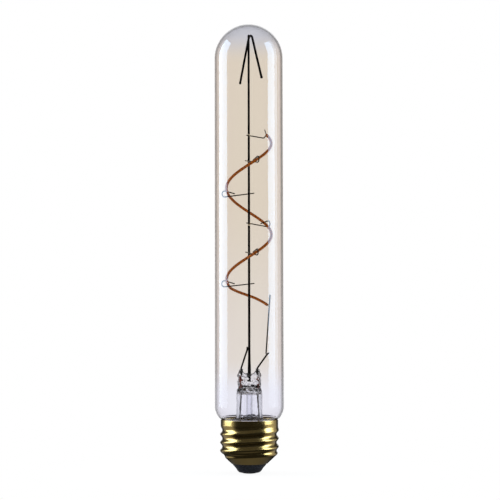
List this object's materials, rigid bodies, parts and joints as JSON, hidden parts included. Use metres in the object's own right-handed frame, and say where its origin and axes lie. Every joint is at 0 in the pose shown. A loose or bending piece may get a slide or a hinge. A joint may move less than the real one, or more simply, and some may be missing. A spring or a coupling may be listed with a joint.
{
  "type": "tubular light bulb",
  "caption": "Long tubular light bulb of clear amber glass, with a spiral LED filament on hooks along a wire mast, a glass stem and a brass E26 screw cap.",
  "frame": {"origin": "centre of the outer face of the centre contact, on the bulb's axis", "axes": "+Z along the axis from the cap to the dome of the glass, +X to the right and +Y to the back of someone who faces the bulb"},
  "size_m": [0.0308, 0.0308, 0.2],
  "materials": {
    "amber_glass": "gloss",
    "clear_glass": "gloss",
    "dark_wire": "satin",
    "nickel_wire": "satin",
    "filament": "satin",
    "copper_clad": "satin",
    "brass": "gloss",
    "black_insulator": "gloss",
    "contact_metal": "satin",
    "cement": "matte",
    "circuit_board": "satin",
    "chip_black": "matte",
    "sleeve": "gloss"
  },
  "bodies": {
    "root": {"glass_envelope": "amber_glass", "glass_stem": "clear_glass", "exhaust_tube": "clear_glass", "support_mast": "dark_wire", "top_spring": "dark_wire", "led_filament": "filament", "upper_end_tab": "nickel_wire", "lower_end_tab": "nickel_wire", "upper_connection_hook": "nickel_wire", "support_hook_1": "nickel_wire", "support_hook_2": "nickel_wire", "support_hook_3": "nickel_wire", "support_hook_4": "nickel_wire", "support_hook_5": "nickel_wire", "lower_link_wire": "nickel_wire", "inner_lead_left": "nickel_wire", "inner_lead_right": "nickel_wire", "dumet_seal_left": "copper_clad", "dumet_seal_right": "copper_clad", "outer_lead_left": "nickel_wire", "outer_lead_right": "nickel_wire", "contact_wire": "nickel_wire", "shell_wire": "nickel_wire", "screw_shell": "brass", "cap_insulator": "black_insulator", "centre_contact": "contact_metal", "basing_cement": "cement", "driver_board": "circuit_board", "bridge_rectifier": "chip_black", "driver_chip": "chip_black", "smoothing_capacitor": "sleeve", "fusible_resistor": "cement"}
  },
  "joints": []
}
